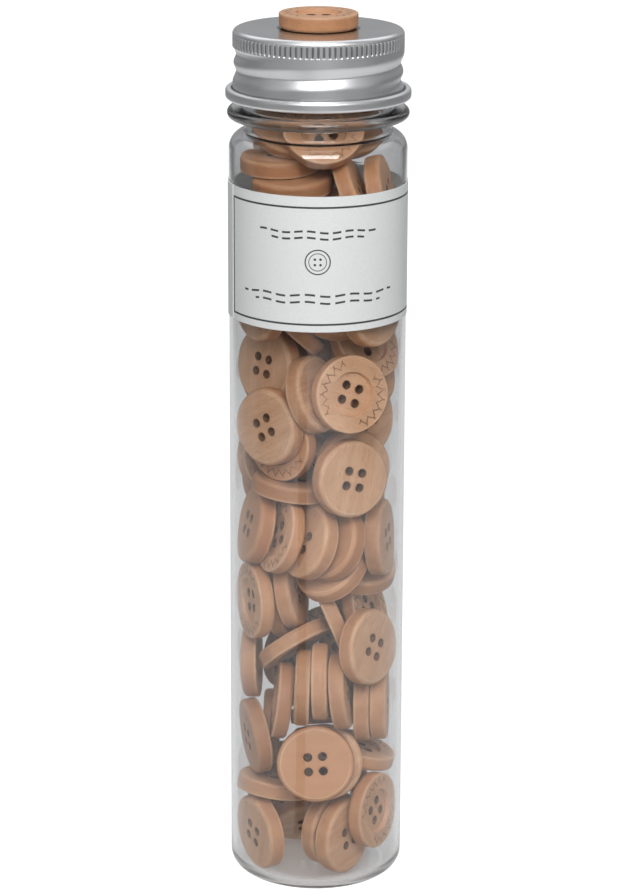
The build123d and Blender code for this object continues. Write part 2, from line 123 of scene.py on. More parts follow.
def blend_colour(tree, share, first, second, kind="MIX"):
    """A colour between two others, or the first multiplied by the second."""
    made = add_node(tree, "ShaderNodeMix", {"data_type": "RGBA", "blend_type": kind},
                    i0=share, i6=first, i7=second)
    return made.outputs[2]


def grey(level):
    """A neutral colour."""
    return (level, level, level)


def new_material(name):
    """A material with an empty tree and its output node."""
    made = bpy.data.materials.new(name)
    made.use_nodes = True
    made.node_tree.nodes.clear()
    return made, made.node_tree, made.node_tree.nodes.new("ShaderNodeOutputMaterial")


def new_object(name, vertices, faces, material):
    """A smooth-shaded mesh object."""
    mesh = bpy.data.meshes.new(name)
    mesh.from_pydata(vertices, [], faces)
    mesh.validate()
    mesh.materials.append(material)
    mesh.shade_smooth()
    made = bpy.data.objects.new(name, mesh)
    bpy.context.scene.collection.objects.link(made)
    return made


# The floor glows for the camera, for reflections and through the plastic, and lights nothing else
floor_material, tree, output = new_material("pale_floor")
ray = add_node(tree, "ShaderNodeLightPath").outputs
seen = calc(tree, "MAXIMUM", ray["Is Camera Ray"], ray["Is Glossy Ray"])
seen = calc(tree, "MAXIMUM", seen, ray["Is Transmission Ray"])
x, y = split(tree, add_node(tree, "ShaderNodeNewGeometry").outputs["Position"])[:2]
from_tube = length_of(tree, times(tree, x, 1.5), y)
# Reflections see a glowing table in front, and its glow is halved close to the tube as a painted shadow of
# the tube
table = times(tree, fade(tree, from_tube, table_end, table_full),
              fade(tree, from_tube, 0.05, 0.16, 0.5, 1.0))
table = calc(tree, "MULTIPLY_ADD", table, table_light, table_least)
white = calc(tree, "MULTIPLY_ADD", ray["Is Glossy Ray"], -less_reflected, white_light)
white = calc(tree, "MULTIPLY_ADD", ray["Is Transmission Ray"], -less_through_plastic, white)
behind = times(tree, fade(tree, y, -0.1, -0.02), fade(tree, calc(tree, "ABSOLUTE", x), 0.5, 0.26))
# Under the tube the glow drops to a painted shadow, tinted with painted light thrown back by the wood
shadow_under_tube = fade(tree, from_tube, foot_outer, foot_inner)
glow = blend_value(tree, shadow_under_tube, blend_value(tree, behind, table, white), painted_foot_shade)
painted_wood_tint = blend_colour(tree, shadow_under_tube, grey(1), painted_wood_light)
bright = add_node(tree, "ShaderNodeEmission", Color=painted_wood_tint, Strength=times(tree, seen, glow))
in_front = times(tree, fade(tree, y, 0.0, -0.1), ray["Is Glossy Ray"])
dark_card = times(tree, fade(tree, from_tube, card_start, card_full), in_front)
lit_colour = blend_colour(tree, dark_card, grey(floor_grey), grey(card_grey))
lit = add_node(tree, "ShaderNodeBsdfDiffuse", Color=lit_colour)
both = add_node(tree, "ShaderNodeAddShader", i0=lit.outputs[0], i1=bright.outputs[0])
tree.links.new(both.outputs[0], output.inputs["Surface"])

floor_corners = [(x * floor_reach, y * floor_reach, 0) for x, y in ((-1, -1), (1, -1), (1, 1), (-1, 1))]
floor = new_object("floor", floor_corners, [(0, 1, 2, 3)], floor_material)

gap_paper, tree, output = new_material("dark_gap")
dark = add_node(tree, "ShaderNodeBsdfDiffuse", Color=grey(0.03))
tree.links.new(dark.outputs[0], output.inputs["Surface"])
gap_ends = ((gap_near, gap_left), (gap_near, gap_right), (gap_far, gap_right), (gap_far, gap_left))
gap_corners = [(reach * math.sin(math.radians(turn)), -reach * math.cos(math.radians(turn)), gap_height)
               for reach, turn in gap_ends]
gap = new_object("gap_between_cards", gap_corners, [(0, 1, 2, 3)], gap_paper)
gap.visible_camera = gap.visible_diffuse = gap.visible_transmission = gap.visible_shadow = False

room = bpy.data.worlds.new("room")
bpy.context.scene.world = room
room.use_nodes = True
tree = room.node_tree
walls = tree.nodes["Background"]
to_back, to_top = split(tree, add_node(tree, "ShaderNodeTexCoord").outputs["Generated"])[1:]
back_wall = fade(tree, to_back, 0.4, 0.9, wall_light, back_light)
ceiling = times(tree, fade(tree, to_top, 0.36, 0.6, 0.0, ceiling_light), fade(tree, to_back, -0.1, 0.4))
tree.links.new(calc(tree, "ADD", back_wall, ceiling), walls.inputs["Strength"])
walls.inputs["Color"].default_value = (0.97, 0.98, 1.0, 1)


def soft_box(name, place, aim, width, height, power):
    """A rectangular area light that the camera doesn't see, though reflections do."""
    lamp = bpy.data.lights.new(name, "AREA")
    lamp.shape = "RECTANGLE"
    lamp.size, lamp.size_y, lamp.energy = width, height, power
    made = bpy.data.objects.new(name, lamp)
    bpy.context.scene.collection.objects.link(made)
    made.location = place
    made.rotation_euler = (Vector(aim) - Vector(place)).to_track_quat("-Z", "Y").to_euler()
    made.visible_camera = False
    return made


front_fill = soft_box("front_fill", (0, -1.3, 0.3), lamp_aim, 0.7, 0.7, 2.0)
front_fill.visible_glossy = False
soft_box("key_soft_box", (0.05, -0.8, 0.78), lamp_aim, 0.77, 0.4, 6.9)
soft_box("left_soft_box", (-0.8, -0.45, 0.4), lamp_aim, 0.5, 0.7, 0.38)
soft_box("right_soft_box", (0.8, -0.45, 0.4), lamp_aim, 0.5, 0.7, 0.36)
soft_box("top_soft_box", (0, -0.2, 1.2), (0, 0, 0.2), 0.6, 0.45, 1.5)

# Buttons: turned from pale hardwood, tumbled smooth and waxed, with four holes drilled and a little
# scorched. The dished side has stitches burnt into its rim in two arcs. They lie loose in the tube,
# and one is glued on the cap. Sizes on a button are in millimetres from its middle.
hole_offset, hole_radius, hole_ring = 1.9, 1.12, (1.6, 3.75)
face_edge, stitches, stitch_foot, stitch_rise = 8.95, 21, 7.1, 3.0
neck_low, neck_high, neck_painted_shade, neck_painted_shade_spread = 0.187, 0.225, 0.86, 0.05
pale_wood, brown_wood, dark_fibre = (0.64, 0.375, 0.222), (0.55, 0.303, 0.171), (0.40, 0.21, 0.11)
dark_fleck, pale_cloud, red_wood_and_neck_shade = (0.36, 0.18, 0.09), (0.66, 0.42, 0.26), (0.47, 0.22, 0.10)
end_grain, worn_line_and_highlight, worn_band = (0.81, 0.70, 0.60), (0.82, 0.60, 0.43), (0.80, 0.58, 0.40)
scorched, hole_dark, burnt_dark = (0.50, 0.22, 0.08), (0.11, 0.055, 0.032), (0.15, 0.07, 0.035)


def read_all(items, field, width, kind):
    """One field of all the items of a mesh, as rows of this width."""
    values = np.empty(len(items) * width, kind)
    items.foreach_get(field, values)
    return values.reshape(-1, width)


def loose_parts(points, edges):
    """A number for each vertex: the same one for all that hang together."""
    grid = np.round(points * 2e6).astype(np.int64)
    same = np.unique(grid, axis=0, return_inverse=True)[1].reshape(-1)
    group = np.arange(same.max() + 1)
    first, second = same[edges[:, 0]], same[edges[:, 1]]
    while True:
        low = np.minimum(group[first], group[second])
        before = group.copy()
        np.minimum.at(group, first, low)
        np.minimum.at(group, second, low)
        group = group[group]
        if np.array_equal(group, before):
            return group[same]


def place_on_button(points, normals, areas):
    """Each point as millimetres across, across and along its button, dished side up, holes square."""
    spread = np.einsum("i,ij,ik->jk", areas, normals, normals)
    axis = np.linalg.eigh(spread)[1][:, 2]
    across = np.cross(axis, [0, 0, 1] if abs(axis[2]) < 0.9 else [1, 0, 0])
    across /= np.linalg.norm(across)
    laid = points @ np.stack([across, np.cross(axis, across), axis]).T
    laid = (laid - (laid.max(axis=0) + laid.min(axis=0)) / 2) * 1000
    reach = np.hypot(laid[:, 0], laid[:, 1])
    at_holes = (reach > hole_ring[0]) & (reach < hole_ring[1])
    if laid[at_holes, 2].mean() > 0:
        laid[:, 1:] *= -1
    corner = np.exp(4j * np.arctan2(laid[at_holes, 1], laid[at_holes, 0])).mean()
    twist = (math.pi - np.angle(corner)) / 4
    flat = (laid[:, 0] + 1j * laid[:, 1]) * np.exp(1j * twist)
    return np.stack([flat.real, flat.imag, laid[:, 2]], axis=1)


def note_buttons(piece, seed):
    """Writes where each vertex lies on its button, and a number for each button's own colour; above the
    label the number makes a button darker and redder, as painted shade.
    """
    mesh = piece.data
    points = read_all(mesh.vertices, "co", 3, np.float32).astype(float)
    part_of = loose_parts(points, read_all(mesh.edges, "vertices", 2, np.int32))
    normals = read_all(mesh.polygons, "normal", 3, np.float32)
    areas = read_all(mesh.polygons, "area", 1, np.float32)[:, 0]
    starts = read_all(mesh.polygons, "loop_start", 1, np.int32)[:, 0]
    face_part = part_of[read_all(mesh.loops, "vertex_index", 1, np.int32)[starts, 0]]
    spot = np.zeros_like(points)
    shade = np.zeros(len(points))
    draw = np.random.default_rng(seed)
    for part in np.unique(part_of):
        own, faces = part_of == part, face_part == part
        spot[own] = place_on_button(points[own], normals[faces], areas[faces])
        shade[own] = draw.uniform()
        # Buttons above the label, under the cap, take numbers that make them darker and redder: painted
        # shade
        if neck_low < points[own, 2].mean() < neck_high:
            shade[own] = neck_painted_shade + neck_painted_shade_spread * shade[own]
    mesh.attributes.new("on_button", "FLOAT_VECTOR", "POINT").data.foreach_set("vector", spot.ravel())
    mesh.attributes.new("button_shade", "FLOAT", "POINT").data.foreach_set("value", shade)


def new_group(name, inputs, outputs):
    """A node group with its own input and output sockets, each given as (name, kind)."""
    group = bpy.data.node_groups.new(name, "ShaderNodeTree")
    for way, sockets in (("INPUT", inputs), ("OUTPUT", outputs)):
        for socket, kind in sockets:
            group.interface.new_socket(socket, in_out=way, socket_type="NodeSocket" + kind)
    return group, group.nodes.new("NodeGroupInput"), group.nodes.new("NodeGroupOutput")


def noise(tree, vector, scale, detail=2.0, rough=0.5):
    """The value of a noise texture."""
    made = add_node(tree, "ShaderNodeTexNoise",
                    Vector=vector, Scale=scale, Detail=detail, Roughness=rough)
    return made.outputs["Fac"]


def stretch(tree, vector, scale):
    """A place with each of its parts scaled, so that what is drawn there is drawn out."""
    return add_node(tree, "ShaderNodeMapping", Vector=vector, Scale=scale).outputs[0]


def apart(tree, first, second):
    """How far two values are apart."""
    return calc(tree, "ABSOLUTE", calc(tree, "SUBTRACT", first, second))


def from_four(tree, x, y, offset):
    """How far a place is from the nearest of four middles, each this far off along x and y."""
    return length_of(tree, *[calc(tree, "SUBTRACT", calc(tree, "ABSOLUTE", way), offset) for way in (x, y)])


def stain(tree, colour, share, most, paint):
    """A colour with another over it: by the most where the share is 1, and not where it is 0."""
    return blend_colour(tree, times(tree, share, most), colour, paint)


# The burnt rim: a zigzag of stitches with a dot in each turn, in two arcs, fainter in places
burnt, sockets_in, sockets_out = new_group("burnt_stitches", [("Place", "Vector")], [("Burn", "Float")])
place = sockets_in.outputs["Place"]
x, y, along = split(burnt, place)
reach = length_of(burnt, x, y)
turn = calc(burnt, "ARCTAN2", y, x)
count = times(burnt, turn, stitches / (2 * math.pi))
wobble = times(burnt, calc(burnt, "SUBTRACT", noise(burnt, place, 0.9, 1.0), 0.5), 0.9)
wanted = calc(burnt, "MULTIPLY_ADD", calc(burnt, "PINGPONG", count, 0.5), stitch_rise, stitch_foot)
stroke = fade(burnt, apart(burnt, reach, calc(burnt, "ADD", wanted, wobble)), 0.34, 0.16)
dot_side = calc(burnt, "PINGPONG", calc(burnt, "ADD", count, 0.5), 0.5)
dot_side = times(burnt, dot_side, 2 * math.pi / stitches * face_edge)
dot = fade(burnt, length_of(burnt, dot_side, calc(burnt, "SUBTRACT", reach, face_edge)), 0.3, 0.16)
arcs = fade(burnt, calc(burnt, "ABSOLUTE", calc(burnt, "COSINE", turn)), 0.52, 0.6)
on_rim = times(burnt, fade(burnt, along, 1.85, 1.93), fade(burnt, reach, 6.1, 6.5))
kept = fade(burnt, noise(burnt, place, 0.35), 0.3, 0.55, 0.45, 1.0)
mark = times(burnt, calc(burnt, "MAXIMUM", stroke, dot), arcs, on_rim, kept)
burnt.links.new(mark, sockets_out.inputs["Burn"])

# The wood: each button is cut from a place of its own in the grain
wood, tree, output = new_material("turned_wood")
place = add_node(tree, "ShaderNodeAttribute", {"attribute_name": "on_button"}).outputs["Vector"]
shade = add_node(tree, "ShaderNodeAttribute", {"attribute_name": "button_shade"}).outputs["Fac"]
x, y, along = split(tree, place)
reach, from_hole = length_of(tree, x, y), from_four(tree, x, y, hole_offset)
moved = add_node(tree, "ShaderNodeCombineXYZ",
                 X=times(tree, shade, 91.0), Y=times(tree, shade, 57.0), Z=times(tree, shade, 33.0))
cut_from = add_node(tree, "ShaderNodeVectorMath", {"operation": "ADD"}, i0=place, i1=moved.outputs[0])
cut_from = cut_from.outputs[0]
with_grain = stretch(tree, cut_from, (0.05, 1.0, 0.6))
fibre = noise(tree, with_grain, 3.2, 4.0, 0.6)
band = noise(tree, with_grain, 0.45)
fleck = noise(tree, stretch(tree, cut_from, (0.5, 3.0, 3.0)), 1.1, 1.0)
cloud = noise(tree, cut_from, 0.16)
colour = blend_colour(tree, fade(tree, band, 0.3, 0.7), pale_wood, brown_wood)
colour = stain(tree, colour, fade(tree, fibre, 0.42, 0.72), 0.35, dark_fibre)
colour = stain(tree, colour, fade(tree, fleck, 0.62, 0.68), 0.55, dark_fleck)
colour = stain(tree, colour, fade(tree, cloud, 0.35, 0.7), 0.25, pale_cloud)
# A few buttons are of redder wood, and the buttons above the label get this red as painted shade
colour = stain(tree, colour, fade(tree, shade, 0.78, 0.92), 0.7, red_wood_and_neck_shade)

# One button is a little lighter than the next, and its side shows the end grain; the buttons above the label
# come out darker, as painted shade
light = fade(tree, calc(tree, "FRACT", times(tree, shade, 7.0)), 0.0, 1.0, 0.91, 1.07)
lighter = add_node(tree, "ShaderNodeCombineColor", i0=light, i1=light, i2=light)
colour = blend_colour(tree, 1.0, colour, lighter.outputs[0], "MULTIPLY")
side_grain = times(tree, fade(tree, reach, 9.6, 9.95), 0.95)
colour = blend_colour(tree, side_grain, colour, end_grain, "MULTIPLY")

# The edges are worn pale, in a line on the plain side and in a band on the dished side; the plain side's
# line is also a painted highlight, where a crisper edge would catch the light
plain_edge_wear_and_highlight = times(tree, fade(tree, apart(tree, reach, face_edge), 0.2, 0.05), fade(tree, along, -1.5, -1.9))
colour = stain(tree, colour, plain_edge_wear_and_highlight, fade(tree, cloud, 0.35, 0.65, 0.05, 0.4), worn_line_and_highlight)
dished_edge = times(tree, fade(tree, reach, 9.3, 9.85), fade(tree, along, 1.1, 1.7))
colour = stain(tree, colour, dished_edge, 0.3, worn_band)

# Heat: scorched round the holes and burnt in the stitches; the holes are also darkened inside
scorch = times(tree, fade(tree, from_hole, 2.1, 1.0), fade(tree, noise(tree, cut_from, 0.5), 0.42, 0.62))
colour = stain(tree, colour, scorch, fade(tree, shade, 0.35, 0.6, 0.15, 0.6), scorched)
in_hole = fade(tree, from_hole, hole_radius + 0.16, hole_radius + 0.02)
colour = stain(tree, colour, in_hole, 0.8, hole_dark)
burn = add_node(tree, "ShaderNodeGroup", {"node_tree": burnt}, Place=place).outputs["Burn"]
colour = stain(tree, colour, burn, 0.8, burnt_dark)

# The finish: fibres, burnt strokes that lie a little deep, and fine rings from the lathe
height = calc(tree, "ADD", times(tree, fibre, 0.5), times(tree, burn, -3.0))
lathe_rings = calc(tree, "SINE", times(tree, reach, 14.0))
height = calc(tree, "MULTIPLY_ADD", lathe_rings, 0.05, height)
bump = add_node(tree, "ShaderNodeBump", Strength=0.5, Distance=0.00006, Height=height)
rough = calc(tree, "MULTIPLY_ADD", fibre, 0.2, fade(tree, cloud, 0.3, 0.7, 0.38, 0.46))
waxed = add_node(tree, "ShaderNodeBsdfPrincipled", Base_Color=colour, Roughness=rough,
                 Specular_IOR_Level=0.4, Normal=bump.outputs[0])
tree.links.new(waxed.outputs[0], output.inputs["Surface"])

button_nodes = sorted(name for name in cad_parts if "button" in name)
for index, name in enumerate(button_nodes):
    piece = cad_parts[name]
    note_buttons(piece, index)
    piece.data.materials.clear()
    piece.data.materials.append(wood)

# Tube: blown from one clear plastic preform. Straight wall, rounded heel and shoulder, a domed
# base on a standing ring, and a neck with a support ring and one moulded thread bead.
tube_radius, wall = 0.0227, 0.0012
heel, base_thickness, dome_radius, dome_height = 0.0045, 0.0018, 0.0171, 0.0016
shoulder_height, shoulder_round, neck_radius, neck_bore = 0.1952, 0.00475, 0.0186, 0.0174
ring_height, ring_round, ring_radius, fillet = 0.2044, 0.0014, 0.0231, 0.0003
finish_radius, lip_height, lip_round = 0.0193, 0.2241, 0.0005
finish_foot, finish_top = ring_height + ring_round + 0.0005, lip_height - 0.0006
pitch, thread_start, bead_turns, bead_round = 0.00423, 0.2149, 1.5, 0.0014
wear_full, wear_end, haze_full, haze_end = 0.001, 0.011, 0.0005, 0.0011
clear_tint, worn_tint = (0.87, 0.875, 0.88), (0.86, 0.84, 0.825)


def arc(middle, radius, start, end, steps):
    """Points of an arc in the plane of (radius, height), from one angle to another in degrees."""
    angles = np.radians(np.linspace(start, end, steps + 1))
    return [(middle[0] + radius * math.cos(a), middle[1] + radius * math.sin(a)) for a in angles]


def dome(height, steps=14):
    """Points of the domed base from the middle out to the standing ring."""
    sphere = (dome_radius**2 + dome_height**2) / (2 * dome_height)
    half = math.degrees(math.asin(dome_radius / sphere))
    return arc((0, height + dome_height - sphere), sphere, 90, 90 - half, steps)


def turned(name, profile, segments, material, radius_at):
    """A form turned about the tube's axis, closed as its profile starts and ends on the axis.

    radius_at(angles, radius, height) gives the radius at each angle of one of the profile's points.
    """
    angles = np.linspace(0, 2 * math.pi, segments, endpoint=False)
    vertices, faces, rows = [], [], []
    for radius, height in profile:
        if radius < 1e-6:
            rows.append([len(vertices)] * segments)
            vertices.append((0, 0, height))
            continue
        reach = radius_at(angles, radius, height)
        rows.append(range(len(vertices), len(vertices) + segments))
        vertices += zip(reach * np.cos(angles), reach * np.sin(angles), np.full(segments, height))
    for low, high in zip(rows, rows[1:]):
        for i in range(segments):
            j = (i + 1) % segments
            faces.append(list(dict.fromkeys([low[i], low[j], high[j], high[i]])))
    return new_object(name, vertices, faces, material)


def wound(angles, height, start, turns):
    """How far up or down the nearest turn of a helix is at each angle, and how far past its ends."""
    best, past = np.full(len(angles), 1.0), np.zeros(len(angles))
    for lap in range(-1, math.ceil(turns) + 1):
        run = angles / (2 * math.pi) + lap
        held = np.clip(run, 0, turns)
        rise = height - (start + pitch * held)
        beyond = np.abs(run - held) * 2 * math.pi
        nearer = np.hypot(rise, beyond * finish_radius) < np.hypot(best, past * finish_radius)
        best, past = np.where(nearer, rise, best), np.where(nearer, beyond, past)
    return best, past


def with_bead(angles, radius, height):
    """The finish's outer radius with the thread bead on it."""
    if radius < finish_radius - 1e-6 or not thread_start - bead_round < height < finish_top:
        return np.full(len(angles), radius)
    rise, past = wound(angles, height, thread_start, bead_turns)
    room = bead_round**2 - rise**2 - (past * finish_radius) ** 2
    return radius + np.sqrt(np.maximum(room, 0))


shoulder_middle = tube_radius - shoulder_round
neck_angle = math.degrees(math.acos((neck_radius - shoulder_middle) / shoulder_round))
neck_foot = shoulder_height + shoulder_round * math.sin(math.radians(neck_angle))
neck_top, ring_top = ring_height - ring_round - fillet, ring_height + ring_round + fillet
inner_heel, inner_shoulder, inner_radius = heel - wall, shoulder_round - wall, tube_radius - wall
inner_heel_top = base_thickness + inner_heel
tube_profile = (
    dome(0)
    + arc((tube_radius - heel, heel), heel, 270, 360, 18)
    + [(tube_radius, z) for z in np.linspace(heel, shoulder_height, 24)[1:-1]]
    + arc((shoulder_middle, shoulder_height), shoulder_round, 0, neck_angle, 18)
    + [(neck_radius, z) for z in np.linspace(neck_foot, neck_top, 5)[1:]]
    + arc((neck_radius + fillet, neck_top), fillet, 180, 90, 4)
    + arc((ring_radius - ring_round, ring_height), ring_round, -90, 90, 18)
    + arc((finish_radius + fillet, ring_top), fillet, 270, 180, 4)
    + [(finish_radius, z) for z in np.linspace(finish_foot, finish_top, 90)]
    + arc((finish_radius - lip_round, lip_height - lip_round), lip_round, 0, 90, 6)
    + [(neck_bore, lip_height)]
    + [(neck_bore, z) for z in np.linspace(lip_height, neck_foot, 12)[1:]]
    + arc((shoulder_middle, shoulder_height), inner_shoulder, 90, 0, 14)
    + [(inner_radius, z) for z in np.linspace(shoulder_height, inner_heel_top, 24)[1:-1]]
    + arc((inner_radius - inner_heel, inner_heel_top), inner_heel, 360, 270, 14)
    + dome(base_thickness)[::-1]
)

# The plastic: faint ripples and scuffs, shelf wear on the outside of the heel, and two hazy rings,
# at the support ring and at the foot of the neck
clear, tree, output = new_material("clear_plastic")
place = add_node(tree, "ShaderNodeTexCoord").outputs["Object"]
x, y, up = split(tree, place)
waves = noise(tree, stretch(tree, place, (1, 1, 0.25)), 60.0, 1.0)
ripple = add_node(tree, "ShaderNodeBump", Strength=0.02, Distance=0.0003, Height=waves)
scuffs = fade(tree, noise(tree, stretch(tree, place, (3, 3, 0.4)), 900.0, 3.0, 0.7), 0.66, 0.8)
heel_out = calc(tree, "SUBTRACT", length_of(tree, x, y), tube_radius - heel)
heel_up = calc(tree, "SUBTRACT", up, heel)
from_heel = length_of(tree, calc(tree, "MAXIMUM", heel_out, 0.0), calc(tree, "MINIMUM", heel_up, 0.0))
outer_skin = fade(tree, from_heel, inner_heel + 0.0001, inner_heel + wall / 2)
shelf_wear = times(tree, fade(tree, up, wear_end, wear_full), outer_skin)
ring_wear = fade(tree, apart(tree, up, ring_height), ring_round + 0.0005, ring_round - 0.0002)
foot_haze = fade(tree, apart(tree, up, neck_foot), haze_end, haze_full)
rough = 0.012
for mark, most in ((scuffs, 0.05), (shelf_wear, 0.2), (ring_wear, 0.18), (foot_haze, 0.12)):
    rough = calc(tree, "MULTIPLY_ADD", mark, most, rough)
tint = blend_colour(tree, shelf_wear, clear_tint, worn_tint)
plastic = add_node(tree, "ShaderNodeBsdfPrincipled", Base_Color=tint, Roughness=rough,
                   IOR=1.57, Transmission_Weight=1.0, Normal=ripple.outputs[0])
to_lamps = add_node(tree, "ShaderNodeBsdfTransparent", Color=(0.93, 0.94, 0.94))
ray = add_node(tree, "ShaderNodeLightPath").outputs
mixed = add_node(tree, "ShaderNodeMixShader",
                 i0=ray["Is Shadow Ray"], i1=plastic.outputs[0], i2=to_lamps.outputs[0])
tree.links.new(mixed.outputs[0], output.inputs["Surface"])

tube = turned("blown_tube", tube_profile, 240, clear, with_bead)
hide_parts("tube")
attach(tube, "jar")

# Cap: one sheet of aluminium, pressed, knurled under its top edge, rolled against the neck's
# thread, and curled outward at its lower edge. It is screwed on, and the knob is glued on it.
cap_radius, sheet, cap_top, edge_round, knob_radius = 0.02165, 0.0003, 0.2256, 0.0013, 0.010
knurl_top, knurl_bottom, knurl_depth, knurl_sharp = 0.2243, 0.2212, 0.00042, 3.6
rib_count, steps_per_rib, skirt_rough, top_rough = 96, 7, 0.41, 0.19
groove_depth, groove_above, groove_below, groove_turns, groove_fade = 0.00095, 0.003, 0.0028, 1.52, 1.1
curl_reach, curl_foot, curl_rise = 0.0235, 0.20795, 0.0029
bright_metal, dull_metal, knurl_groove_shade = (0.82, 0.825, 0.83), (0.70, 0.705, 0.72), (0.16, 0.16, 0.165)
knob_shadow_dark, crease_shade_dark = (0.05, 0.045, 0.04), (0.2, 0.2, 0.205)
curl_round = (curl_reach - cap_radius) / 2
curl_top = curl_foot + curl_rise - curl_round
skirt_foot = curl_top + 0.0001


def ramp(value, run):
    """From 0 up to 1 over a run, and held there."""
    return min(1, max(0, value / run))


def rolled(angles, radius, height):
    """The cap's skirt with its knurl and its rolled thread."""
    reach = np.full(len(angles), radius)
    if radius < cap_radius - sheet - 1e-6 or radius > cap_radius + 1e-5:
        return reach
    if knurl_bottom - 0.0001 < height < knurl_top + 0.0001:
        ends = ramp(height - knurl_bottom, 0.0005) * ramp(knurl_top - height, 0.0004)
        from_groove = np.abs((angles * rib_count / (2 * math.pi) + 0.5) % 1 - 0.5)
        return reach - knurl_depth * math.sqrt(ends) * np.clip(1 - from_groove * knurl_sharp, 0, 1)
    ends = ramp(knurl_bottom - height, 0.0004) * ramp(height - skirt_foot - 0.0006, 0.001)
    for lap in range(-1, 3):
        run = angles / (2 * math.pi) + lap
        held = np.clip(run, 0, groove_turns)
        rise = height - (thread_start - pitch / 2 + pitch * np.clip(run, -0.2, groove_turns + 0.2))
        off = np.clip(np.abs(rise) / np.where(rise > 0, groove_above, groove_below), 0, 1)
        left = np.clip(1 - np.abs(run - held) * 2 * math.pi / groove_fade, 0, 1)
        section = 0.25 + 0.25 * np.cos(math.pi * off) + 0.5 * (1 - off) ** 1.6
        reach -= groove_depth * section * left**2 * (3 - 2 * left) * ends
    return reach


skirt_heights = np.linspace(knurl_bottom, skirt_foot, 48)
knurl_heights = [knurl_top, knurl_top - 0.00006, knurl_top - 0.0002, knurl_top - 0.0004,
                 knurl_bottom + 0.0005, knurl_bottom + 0.00025, knurl_bottom + 0.00008]
cap_profile = (
    [(0, cap_top), (0.006, cap_top), (0.014, cap_top), (cap_radius - edge_round - 0.0004, cap_top)]
    + arc((cap_radius - edge_round, knurl_top), edge_round, 90, 0, 9)[:-1]
    + [(cap_radius, z) for z in knurl_heights]
    + [(cap_radius, z) for z in skirt_heights]
    + arc((cap_radius + curl_round, curl_top), curl_round, 172, 0, 18)
    + arc((cap_radius + curl_round, curl_foot + curl_round), curl_round, 360, 270, 9)
    + arc((cap_radius - sheet + curl_round, curl_foot + curl_round), curl_round, 270, 180, 9)
    + [(cap_radius - sheet, z) for z in skirt_heights[::-2]]
    + [(cap_radius - sheet, knurl_top)]
    + arc((cap_radius - edge_round, knurl_top), edge_round - sheet, 0, 90, 4)[1:]
    + [(0, cap_top - sheet)]
)

# The metal: lines drawn round it, satin on the skirt and smoother on top
aluminium, tree, output = new_material("rolled_aluminium")
place = add_node(tree, "ShaderNodeTexCoord").outputs["Object"]
x, y, up = split(tree, place)
out, turn = length_of(tree, x, y), calc(tree, "ARCTAN2", y, x)
around = add_node(tree, "ShaderNodeCombineXYZ", X=times(tree, turn, 2.0), Y=times(tree, up, 4000.0))
drawn_lines = noise(tree, around.outputs[0], 2.0, 3.0, 0.6)
grain = noise(tree, place, 2600.0)
smudge = noise(tree, place, 70.0, 3.0)
on_top = fade(tree, up, cap_top - 0.0006, cap_top - 0.0002)
satin = calc(tree, "MULTIPLY_ADD", grain, 0.04, blend_value(tree, on_top, skirt_rough, top_rough))
rough = calc(tree, "ADD", fade(tree, smudge, 0.3, 0.7, -0.02, 0.03), satin)
colour = blend_colour(tree, times(tree, drawn_lines, 0.5), bright_metal, dull_metal)

# Painted shade in the knurl's grooves, a painted contact shadow round the knob, and painted shade in the
# crease above the curl
knurl_painted_shade = times(tree, fade(tree, out, cap_radius - 0.00008, cap_radius - 0.0003),
                   fade(tree, up, knurl_bottom, knurl_bottom + 0.0002),
                   fade(tree, up, knurl_top, knurl_top - 0.0002, 0.0, 0.75))
colour = blend_colour(tree, knurl_painted_shade, colour, knurl_groove_shade)
# A dark ring on the top round the knob's foot: a painted contact shadow
knob_painted_shadow = times(tree, on_top, fade(tree, out, knob_radius + 0.0008, knob_radius + 0.0001))
colour = stain(tree, colour, knob_painted_shadow, 0.85, knob_shadow_dark)
# Darker low in the crease above the curl: painted shade
crease_painted_shade = times(tree, fade(tree, up, curl_top + 0.0014, curl_top + 0.0009),
               fade(tree, out, cap_radius + 0.0005, cap_radius + 0.0002))
colour = stain(tree, colour, crease_painted_shade, 0.7, crease_shade_dark)
relief = calc(tree, "ADD", times(tree, drawn_lines, 0.6), times(tree, grain, 0.4))
bump = add_node(tree, "ShaderNodeBump", Strength=0.2, Distance=0.00004, Height=relief)
metal = add_node(tree, "ShaderNodeBsdfPrincipled",
                 Base_Color=colour, Metallic=1.0, Roughness=rough, Normal=bump.outputs[0])
tree.links.new(metal.outputs[0], output.inputs["Surface"])

cap = turned("rolled_cap", cap_profile, steps_per_rib * rib_count, aluminium, rolled)
cap.data.set_sharp_from_angle(angle=math.radians(38))
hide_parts("screw_cap")
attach(cap, "cap")

# Liner: a disc of pressed white board under the cap's top. It is punched out and pushed in, seals
# the neck's lip, and is seen when the cap is off.
pale_board, dull_board = (0.80, 0.79, 0.75), (0.72, 0.71, 0.66)
liner_board, tree, output = new_material("liner_board")
pulp = noise(tree, add_node(tree, "ShaderNodeTexCoord").outputs["Object"], 1500.0, 4.0, 0.6)
colour = blend_colour(tree, fade(tree, pulp, 0.3, 0.7), pale_board, dull_board)
bump = add_node(tree, "ShaderNodeBump", Strength=0.4, Distance=0.0001, Height=pulp)
board = add_node(tree, "ShaderNodeBsdfPrincipled",
                 Base_Color=colour, Roughness=0.8, Normal=bump.outputs[0])
tree.links.new(board.outputs[0], output.inputs["Surface"])
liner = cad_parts["cap_liner"]
liner.data.materials.clear()
liner.data.materials.append(liner_board)

